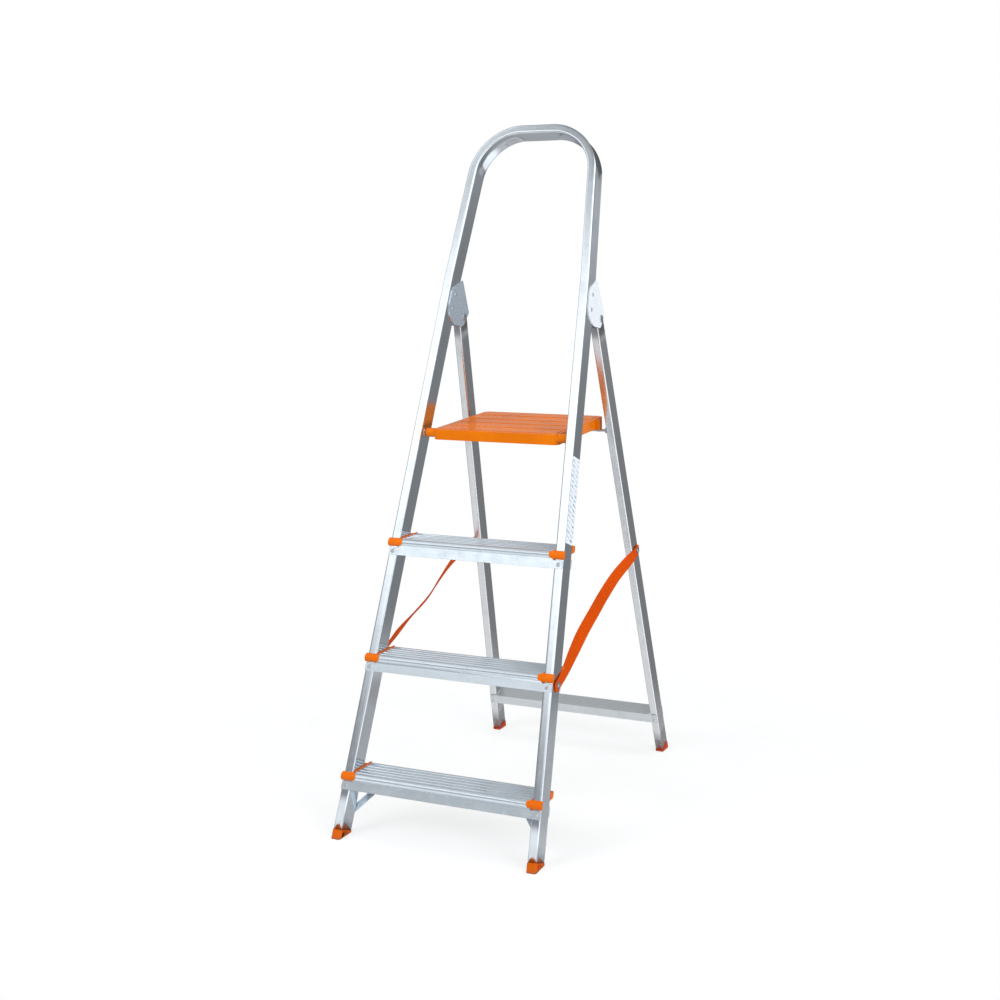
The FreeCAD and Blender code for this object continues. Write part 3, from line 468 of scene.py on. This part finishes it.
def dress(name, mesh, finish, body, replaced=(), angle=32):
    mesh.materials.clear()
    mesh.materials.append(finish)
    mesh.shade_smooth()
    mesh.set_sharp_from_angle(angle=math.radians(angle))
    piece = bpy.data.objects.new(name, mesh)
    bpy.context.scene.collection.objects.link(piece)
    if body:
        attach(piece, body)
    if replaced:
        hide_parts(*replaced)
    return piece


def softened(node, name, finish, body, bevel=0.6 * MM, segments=2, angle=32):
    shape = bmesh.new()
    shape.from_mesh(frame["nodes"][node].data)
    bmesh.ops.remove_doubles(shape, verts=shape.verts, dist=2e-6)
    bmesh.ops.dissolve_limit(shape, angle_limit=math.radians(1.0), verts=shape.verts, edges=shape.edges)
    mesh = bpy.data.meshes.new(name)
    shape.to_mesh(mesh)
    shape.free()
    piece = dress(name, mesh, finish, body, (node,), angle)
    if bevel:
        rounding = piece.modifiers.new("soft_edges", "BEVEL")
        rounding.width, rounding.segments, rounding.limit_method = bevel, segments, "ANGLE"
        rounding.angle_limit = math.radians(angle)
        rounding.use_clamp_overlap = True
        rounding.harden_normals = True
    return piece


def give_finish(node, finish):
    """Puts a finish on a CAD node that is shown as it is."""
    shown = frame["nodes"][node]
    for material_slot in shown.material_slots:
        material_slot.material = finish
    if not shown.material_slots:
        shown.data.materials.append(finish)


for index in (1, 2, 3):
    softened(f"tread_{index}", f"ribbed_tread_{index}", tread_aluminium, "front_frame",
             0.35 * MM)
    for side in ("left", "right"):
        softened(f"tread_clip_{index}_{side}", f"end_clip_{index}_{side}", orange_plastic,
                 "front_frame", 0.8 * MM, 3)
for side in ("left", "right"):
    softened(f"front_foot_{side}", f"wedge_foot_{side}", foot_plastic, "front_frame",
             0.7 * MM)
    # The rear feet take the painted-shade copy of the foot plastic.
    softened(f"rear_foot_{side}", f"leg_foot_{side}", painted_shade_foot_plastic, "rear_frame",
             0.7 * MM)
    softened(f"brace_{side}", f"corner_brace_{side}", sheet_aluminium, "front_frame",
             0.4 * MM)
    # Outer plates take the painted-bright copy of the sheet and inner plates the plain sheet, so the seen
    # right plate looks lit and the left one shaded.
    for layer in ("outer", "inner"):
        softened(f"hinge_plate_{layer}_{side}", f"{layer}_hinge_leaf_{side}",
                 painted_bright_sheet if layer == "outer" else sheet_aluminium,
                 "front_frame", 0.7 * MM, 3)
softened("platform", "standing_platform", platform_plastic, "platform", 0.9 * MM, 3)
softened("rear_crossbar", "rear_channel", bar_aluminium, "rear_frame", 0.4 * MM)
for node, finish in (("brace_rivets", rivet_aluminium), ("hinge_pivot_pins", plated_steel),
                     ("platform_axle", plated_steel), ("axle_washers", plated_steel),
                     ("rest_rod", plated_steel), ("rest_rod_nuts", plated_steel),
                     ("strap_rivets_lower", plated_steel), ("strap_rivets_upper", plated_steel)):
    give_finish(node, finish)

# %% [markdown]
# ## The tubes
# Each tube is a rounded rectangle carried along a path, and it is drawn here rather than taken
# from the CAD mesh for two reasons: the chart has to run unbroken along the tube, and the bends
# of the hoop are not clean. Where thin tube is bent without a mandrel, the die dishes the inner
# wall into a groove and flattens the outer wall.

# %% Section and path
def rounded_section(width, depth, corner, steps_wide, steps_deep, steps_corner=4):
    """Points round a tube as (across, deep), with the inner wall first, going anticlockwise."""
    half_w, half_d = width / 2, depth / 2
    spots = []
    for centre_a, centre_d, start, run, steps in (
            (-half_w + corner, half_d - corner, 90, (0, -1), steps_deep),
            (-half_w + corner, -half_d + corner, 180, (1, 0), steps_wide),
            (half_w - corner, -half_d + corner, 270, (0, 1), steps_deep),
            (half_w - corner, half_d - corner, 0, (-1, 0), steps_wide)):
        for i in range(steps_corner):
            angle = math.radians(start + 90 * i / steps_corner)
            spots.append((centre_a + corner * math.cos(angle), centre_d + corner * math.sin(angle)))
        angle = math.radians(start + 90)
        a = centre_a + corner * math.cos(angle)
        d = centre_d + corner * math.sin(angle)
        length = (depth if run[0] == 0 else width) - 2 * corner
        for i in range(steps):
            spots.append((a + run[0] * length * i / steps, d + run[1] * length * i / steps))
    return spots


def bent_path(corners, radii, arc_step, straight_steps):
    """Points along straight runs with tangent arcs: (place, direction, distance, bend number, share)."""
    points, travelled = [], 0.0
    start = Vector(corners[0])
    for i in range(1, len(corners)):
        goal = Vector(corners[i])
        run = (goal - start).normalized()
        end = goal
        if i < len(corners) - 1:
            leave = (Vector(corners[i + 1]) - goal).normalized()
            bend = run.angle(leave)
            radius = radii[i - 1]
            end = goal - run * radius * math.tan(bend / 2)
        length = (end - start).length
        for k in range(straight_steps):
            share = k / straight_steps
            points.append((start + (end - start) * share, run, travelled + length * share, 0, 0))
        travelled += length
        if i == len(corners) - 1:
            points.append((end, run, travelled, 0, 0))
            break
        inward = (leave - run * run.dot(leave)).normalized()
        centre = end + inward * radius
        steps = max(4, round(bend / arc_step))
        for k in range(steps):
            angle = bend * k / steps
            place = centre - inward * radius * math.cos(angle) + run * radius * math.sin(angle)
            heading = run * math.cos(angle) + inward * math.sin(angle)
            points.append((place, heading, travelled + radius * angle, i, k / steps))
        travelled += radius * bend
        start = centre - inward * radius * math.cos(bend) + run * radius * math.sin(bend)
    return points


# %% Sweep
def swept_tube(name, points, section, deep_way, dent, wall, finish, body, replaced):
    """Carries a section along a path. deep_way is the constant depth direction of the section."""
    count = len(section)
    vertices, faces, chart = [], [], []
    around = [0.0]
    for i in range(count):
        a, b = section[i], section[(i + 1) % count]
        around.append(around[-1] + math.dist(a, b))
    for place, heading, travelled, bend, share in points:
        outward = deep_way.cross(heading).normalized()
        for a, d in section:
            a += dent(a, d, travelled, bend, share)
            vertices.append(place + outward * a + deep_way * d)
    for k in range(len(points) - 1):
        for i in range(count):
            j = (i + 1) % count
            faces.append((k * count + i, k * count + j, (k + 1) * count + j, (k + 1) * count + i))
            low, high = points[k][2], points[k + 1][2]
            chart += [(around[i], low), (around[i + 1], low), (around[i + 1], high), (around[i], high)]
    piece = mesh_piece(name, vertices, faces, finish, None, (), 50)
    layer = piece.data.uv_layers.new(name="chart")
    layer.data.foreach_set("uv", np.array(chart).ravel())
    shell = piece.modifiers.new("wall", "SOLIDIFY")
    shell.thickness, shell.offset = wall, -1
    shell.use_even_offset = False
    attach(piece, body)
    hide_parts(*replaced)
    return piece


# %% [markdown]
# ### The hoop
# The path lies in the leaning plane: up the left stile, over the bow and down the right one. The
# dents are written for one bend as a share of its turn, and the second bend runs the same way
# backwards. A dent fades across the tube's depth, and its start is slanted, so that it meets the
# straight top bar in a V-shaped crease.

# %% Hoop
hoop_length, bow_radius, kink_radius = 1619 * MM, 110 * MM, 400 * MM
kink_above_pivot, leg_top_above_pivot = 72 * MM, 16 * MM
tube_cut = (tube_end_gap + stile_depth * math.sin(lean)) / math.cos(lean)
hoop_top = hoop_length - stile_width / 2
kink = pivot_along + kink_above_pivot
kink_half = stile_axis_at(kink)
bow_half = kink_half - (hoop_top - kink) * math.tan(bow_taper)
middle = stile_depth / 2
route = [in_front_plane(across, middle, along) for across, along in (
    (-stile_axis_at(tube_cut), tube_cut), (-kink_half, kink), (-bow_half, hoop_top),
    (bow_half, hoop_top), (kink_half, kink), (stile_axis_at(tube_cut), tube_cut))]
hoop_points = bent_path(route, [kink_radius, bow_radius, bow_radius, kink_radius],
                        math.radians(2.5), 12)
print("hoop length", round(hoop_points[-1][2], 4), "rings", len(hoop_points))


def smooth(value, low, high):
    share = min(1.0, max(0.0, (value - low) / (high - low)))
    return share * share * (3 - 2 * share)


def hoop_dent(a, d, travelled, bend, share):
    """How far a wall point moves across the tube at this place."""
    inner_depth, outer_depth = 6.4 * MM, 5.0 * MM
    if bend not in (2, 3):
        return 0.0
    from_stile = share if bend == 2 else 1 - share
    across_depth = abs(d) / (stile_depth / 2)
    dish = max(0.0, 1 - across_depth ** 2)
    valley = max(0.0, 1 - math.sqrt(across_depth ** 2 + 0.012))
    half = stile_width / 2
    crease = 0.90 - 0.10 * (d / (stile_depth / 2))
    if a < 0:
        depth = smooth(from_stile, 0.02, 0.22) * (1 - smooth(from_stile, crease - 0.03, crease + 0.03))
        return inner_depth * depth * valley * smooth(-a, half * 0.55, half * 0.9)
    start = from_stile - 0.10 * across_depth ** 2
    depth = smooth(start, -0.02, 0.14) * (1 - smooth(from_stile, 0.60, 0.85))
    return -outer_depth * depth * dish * smooth(a, half * 0.55, half * 0.9)


hoop = swept_tube("bent_hoop", hoop_points,
                  rounded_section(stile_width, stile_depth, stile_corner, 5, 14),
                  -leaning_back, hoop_dent, stile_wall, tube_aluminium, "front_frame",
                  ("front_hoop",))

# %% Rear legs
leg_drop = hinge_point.z - tube_end_gap - rear_depth / 2 * math.sin(rear_lean)
leg_length = leg_drop / math.cos(rear_lean)
for name, side in (("left", -1), ("right", 1)):
    def on_leg(along, side=side):
        across = side * (pivot_half - along * math.tan(rear_taper))
        return hinge_point + Vector((across, 0, 0)) + leg_up * along
    leg_points = bent_path([on_leg(-leg_length), on_leg(leg_top_above_pivot)], [], 1.0, 16)
    swept_tube(f"rear_tube_{name}", leg_points,
               rounded_section(rear_width, rear_depth, rear_corner, 3, 4), -leg_back,
               lambda *place: 0.0, rear_wall, leg_aluminium, "rear_frame", (f"rear_leg_{name}",))
print("tubes ready")

# %% [markdown]
# ## Straps
# Each strap is one length of webbing. Its ends lie against the tubes and are folded back under
# themselves, and between them it hangs slack: it bows and turns so that its upper edge leans in.
# The two straps don't hang alike, so each has its own short table of bows and turns. The band
# is drawn directly as one thin closed sheet that follows its middle line, fold and all, with a
# crown in its thickness so that its edges are softer than its middle.

# %% Strap line
strap_low_along, strap_low_behind = 381 * MM, 26 * MM
strap_high_below, strap_high_offset = 575 * MM, 5.6 * MM
strap_stand, under_stand = 2.45 * MM, 0.85 * MM
hang_shares = (0, 0.10, 0.22, 0.36, 0.50, 0.64, 0.78, 0.90, 1.0)
strap_bows = {-1: (0, -2.0, 0.4, 0.4, -0.4, 9.2, 16.5, 15.0, 0),
              1: (0, -2.9, -8.6, -14.1, -15.7, -16.9, -14.9, -7.2, 0)}
strap_turns = {-1: (0, 0.43, 0.34, 0.62, 0.56, 0.48, 0.34, 0.12, 0),
               1: (0, 0.28, 0.62, 1.04, 1.03, 0.96, 0.68, 0.46, 0)}
strap_tail, fold_length, rounded_end = 13 * MM, 20 * MM, 9 * MM


def strap_ends(side, stand):
    reach = stile_axis_at(strap_low_along) + stile_width / 2 + stand
    low = in_front_plane(side * reach, strap_low_behind, strap_low_along)
    reach = pivot_half + strap_high_below * math.tan(rear_taper) + rear_width / 2 + stand
    high = (hinge_point + Vector((side * reach, 0, 0)) - leg_up * strap_high_below
            + leg_back * strap_high_offset)
    return low, high


def eased(values, share):
    """Value at this share of the strap, on a smooth curve through a table of values."""
    i = max(j for j in range(len(values) - 1) if hang_shares[j] <= share)
    gap = hang_shares[i + 1] - hang_shares[i]
    u = (share - hang_shares[i]) / gap

    def slope(j):
        if j in (0, len(values) - 1):
            return 0.0
        return (values[j + 1] - values[j - 1]) / (hang_shares[j + 1] - hang_shares[j - 1])

    rise = values[i] + (values[i + 1] - values[i]) * u * u * (3 - 2 * u)
    return rise + gap * (slope(i) * (u ** 3 - 2 * u * u + u) + slope(i + 1) * (u ** 3 - u * u))


def strap_line(side):
    """Rows of (place, across, normal, width share) from one folded end to the other."""
    low, high = strap_ends(side, strap_stand)
    run = (high - low).normalized()
    span = (high - low).length
    outward = Vector((side, 0, 0))
    outward = (outward - run * outward.dot(run)).normalized()
    upward = run.cross(outward)
    upward = -upward if upward.z < 0 else upward
    drop = strap_stand - under_stand

    def narrowing(beyond):
        return 1 - 0.30 * max(0.0, 1 - beyond / rounded_end) ** 2

    def folded(end, way):
        """Rows from the free edge under the strap out to the fold and half way round it."""
        rows = []
        for i in range(9):
            reach = -fold_length + (fold_length + strap_tail) * i / 8
            rows.append((end + way * reach - outward * drop, upward, -outward,
                         narrowing(strap_tail - reach)))
        for i in range(1, 6):
            angle = math.pi * i / 6
            middle = end + way * strap_tail - outward * drop / 2
            spoke = -outward * math.cos(angle) + way * math.sin(angle)
            rows.append((middle + spoke * drop / 2, upward, spoke, narrowing(0)))
        return rows

    rows = folded(low, -run)
    steps = 64
    for i in range(steps + 1):
        reach = -strap_tail + (span + 2 * strap_tail) * i / steps
        share = min(1.0, max(0.0, reach / span))
        turn = eased(strap_turns[side], share)
        place = low + run * reach + outward * eased(strap_bows[side], share) * MM
        rows.append((place, upward * math.cos(turn) - outward * math.sin(turn),
                     outward * math.cos(turn) + upward * math.sin(turn),
                     narrowing(min(reach, span - reach) + strap_tail)))
    return rows + [row for row in reversed(folded(high, run))]


# %% Strap sheet
def strap_piece(name, side, node):
    rows = strap_line(side)
    steps = 10
    edge = [(-1 + 2 * i / steps, math.sqrt(max(0.10, 1 - abs(-1 + 2 * i / steps) ** 6)) / 2)
            for i in range(steps + 1)]
    ring = edge + [(a, -t) for a, t in reversed(edge)]
    count = len(ring)
    travelled = [0.0]
    for before, after in zip(rows, rows[1:]):
        travelled.append(travelled[-1] + (after[0] - before[0]).length)
    vertices, faces, chart = [], [], []
    half = strap_width / 2
    for place, across, normal, narrow in rows:
        vertices += [place + across * a * half * narrow + normal * t * strap_thickness
                     for a, t in ring]
    for k in range(len(rows) - 1):
        for i in range(count):
            j = (i + 1) % count
            faces.append((k * count + i, k * count + j, (k + 1) * count + j, (k + 1) * count + i))
            for corner, row in ((i, k), (j, k), (j, k + 1), (i, k + 1)):
                chart.append((half + ring[corner][0] * half, travelled[row]))
    for row, order in ((0, -1), (len(rows) - 1, 1)):
        faces.append(tuple(row * count + i for i in range(count))[::order])
        chart += [(half + ring[i][0] * half, travelled[row]) for i in range(count)][::order]
    piece = mesh_piece(name, vertices, faces, strap_webbing, None, (), 70)
    layer = piece.data.uv_layers.new(name="chart")
    layer.data.foreach_set("uv", np.array(chart).ravel())
    cleaned = bmesh.new()
    cleaned.from_mesh(piece.data)
    bmesh.ops.recalc_face_normals(cleaned, faces=cleaned.faces)
    cleaned.to_mesh(piece.data)
    cleaned.free()
    start, end = strap_ends(side, strap_stand)
    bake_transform(piece)
    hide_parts(node)
    "rear_tube_" + name.split("_")[-1]
    print(name, "webbing length", round(travelled[-1], 4))
    return piece


for name, side in (("left", -1), ("right", 1)):
    strap_piece(f"stay_strap_{name}", side, f"strap_{name}")

# %% [markdown]
# ## Label
# A strip of film with rounded corners, stuck on the right stile's outer face.

# %% Label film piece
def film_strip():
    thick, corner = 0.3 * MM, 2 * MM
    outline = []
    for centre_w, centre_l, start in ((corner, corner, 180), (label_width - corner, corner, 270),
                                      (label_width - corner, label_length - corner, 0),
                                      (corner, label_length - corner, 90)):
        for i in range(6):
            angle = math.radians(start + 18 * i)
            outline.append((centre_w + corner * math.cos(angle), centre_l + corner * math.sin(angle)))
    count = len(outline)
    vertices = []
    for stand in (0.0, thick):
        for w, l in outline:
            along = label_low + l
            reach = stile_axis_at(along) + stile_width / 2 / math.cos(stile_taper) + stand
            vertices.append(in_front_plane(reach, (stile_depth - label_width) / 2 + w, along))
    faces = [tuple(range(count))[::-1], tuple(range(count, 2 * count))]
    chart = [outline[i] for i in range(count)][::-1] + outline
    for i in range(count):
        j = (i + 1) % count
        faces.append((i, j, count + j, count + i))
        chart += [outline[i], outline[j], outline[j], outline[i]]
    piece = mesh_piece("side_film", vertices, faces, label_film, "front_frame", ("side_label",))
    layer = piece.data.uv_layers.new(name="chart")
    layer.data.foreach_set("uv", np.array(chart).ravel())
    return piece


film_strip()
print("label ready")

# %% [markdown]
# ## Rivets
# All the blind rivets are the same: a low dome with a ring groove round the broken stem. One
# Geometry Nodes tree makes a head, sets it on every spot facing outwards and gives it a random
# quarter turn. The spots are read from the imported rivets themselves, so each head sits where its
# shank goes through.

# %% Where the heads sit
def islands(node):
    """The separate solids of a CAD node, each as an array of its points."""
    shape = bmesh.new()
    shape.from_mesh(frame["nodes"][node].data)
    bmesh.ops.remove_doubles(shape, verts=shape.verts, dist=2e-6)
    left, found = set(shape.verts), []
    while left:
        queue, group = [left.pop()], []
        while queue:
            vertex = queue.pop()
            group.append(vertex.co.copy())
            for edge in vertex.link_edges:
                other = edge.other_vert(vertex)
                if other in left:
                    left.remove(other)
                    queue.append(other)
        found.append(np.array(group))
    shape.free()
    return found


def head_spots(node, axis_of):
    """(place, facing) of each rivet head: the widest rings of a solid, on the sheet it clamps."""
    spots = []
    for points in islands(node):
        axis = np.array(axis_of(points.mean(axis=0)))
        heights = points @ axis
        flat = points - np.outer(heights, axis)
        middle = (flat.min(axis=0) + flat.max(axis=0)) / 2
        radial = np.linalg.norm(flat - middle, axis=1)
        wide = radial > radial.max() * 0.97
        centre = (heights.min() + heights.max()) / 2
        for sign in (-1, 1):
            ring = wide & ((heights - centre) * sign > 0)
            if ring.any():
                place = flat[ring].mean(axis=0) + axis * heights[ring].mean()
                spots.append((place, axis * sign))
    return spots


def across_stile(point):
    side = 1 if point[0] > 0 else -1
    return (side * math.cos(stile_taper), math.sin(stile_taper) * math.sin(lean),
            math.sin(stile_taper) * math.cos(lean))


# %% Rivet tree
def rivet_tree():
    group = bpy.data.node_groups.new("blind_rivet_heads", "GeometryNodeTree")
    faces = group.interface
    faces.new_socket("Geometry", in_out="INPUT", socket_type="NodeSocketGeometry")
    for name, value in (("Head Radius", 4.6 * MM), ("Head Rise", 1.5 * MM),
                        ("Stem Radius", 1.3 * MM), ("Groove Depth", 0.5 * MM)):
        faces.new_socket(name, in_out="INPUT", socket_type="NodeSocketFloat").default_value = value
    faces.new_socket("Finish", in_out="INPUT", socket_type="NodeSocketMaterial")
    faces.new_socket("Geometry", in_out="OUTPUT", socket_type="NodeSocketGeometry")
    tree = Tree(group)
    given = tree.node("NodeGroupInput").socket.node.outputs
    given = {socket.name: Wire(tree, socket) for socket in given}
    ball = tree.node("GeometryNodeMeshUVSphere", None, {"Segments": 24, "Rings": 22, "Radius": 1.0})
    x, y, z = tree.split(tree.node("GeometryNodeInputPosition"))
    squared = x * x + y * y
    out_from_axis = squared.maths("SQRT", squared) * given["Head Radius"]
    stem = given["Stem Radius"]
    groove = (out_from_axis.ramp(stem * 0.9, stem * 1.25)
              * out_from_axis.ramp(stem * 1.5, stem * 2.1, 1.0, 0.0))
    height = z * given["Head Rise"] - groove * (z > 0.0) * given["Groove Depth"]
    head = tree.node("GeometryNodeSetPosition", None, {"Geometry": ball, "Position": tree.joined(
        x * given["Head Radius"], y * given["Head Radius"], height)})
    facing = tree.node("GeometryNodeInputNamedAttribute", {"data_type": "FLOAT_VECTOR"},
                       {"Name": "facing"})
    upright = tree.node("FunctionNodeAlignRotationToVector", {"axis": "Z"}, {"Vector": facing})
    spin = tree.node("FunctionNodeRandomValue", {"data_type": "FLOAT"}, {2: 0.0, 3: 6.28, "Seed": 7}, 1)
    set_on = tree.node("GeometryNodeInstanceOnPoints", None, {
        "Points": given["Geometry"], "Instance": head, "Rotation": upright})
    turned = tree.node("GeometryNodeRotateInstances", None, {
        "Instances": set_on, "Rotation": tree.joined(0.0, 0.0, spin)})
    real = tree.node("GeometryNodeRealizeInstances", None, {"Geometry": turned})
    dressed = tree.node("GeometryNodeSetMaterial", None, {"Geometry": real, "Material": given["Finish"]})
    tree.node("NodeGroupOutput", None, {"Geometry": dressed})
    return group


def run_tree(name, group, points, attributes, inputs, finish, body, replaced):
    """Runs a tree on bare points and keeps the result as one plain mesh."""
    seeds = bpy.data.meshes.new(name + "_spots")
    seeds.from_pydata([tuple(p) for p in points], [], [])
    for attribute, values in attributes.items():
        layer = seeds.attributes.new(attribute, "FLOAT_VECTOR", "POINT")
        layer.data.foreach_set("vector", np.array(values, dtype=float).ravel())
    carrier = bpy.data.objects.new(name + "_spots", seeds)
    bpy.context.scene.collection.objects.link(carrier)
    modifier = carrier.modifiers.new("tree", "NODES")
    modifier.node_group = group
    sockets = {item.name: item.identifier for item in group.interface.items_tree
               if item.in_out == "INPUT"}
    for key, value in inputs.items():
        modifier[sockets[key]] = value
    modifier[sockets["Finish"]] = finish
    bpy.context.view_layer.update()
    evaluated = carrier.evaluated_get(bpy.context.evaluated_depsgraph_get())
    mesh = bpy.data.meshes.new_from_object(evaluated)
    carrier.modifiers.clear()
    bpy.data.objects.remove(carrier)
    mesh.name = name
    piece = dress(name, mesh, finish, body, replaced, 40)
    print(name, "from", len(points), "spots:", len(mesh.polygons), "faces")
    return piece


rivet_heads = rivet_tree()
for name, node, axis_of, body in (
        ("tread_rivet_heads", "tread_rivets", lambda point: leaning_back, "front_frame"),
        ("hinge_rivet_heads", "hinge_plate_rivets", across_stile, "front_frame"),
        ("crossbar_rivet_heads", "crossbar_rivets", lambda point: leg_back, "rear_frame")):
    spots = head_spots(node, axis_of)
    run_tree(name, rivet_heads, [spot[0] for spot in spots], {"facing": [spot[1] for spot in spots]},
             {"Head Radius": 4.6 * MM}, rivet_aluminium, body, (node,))
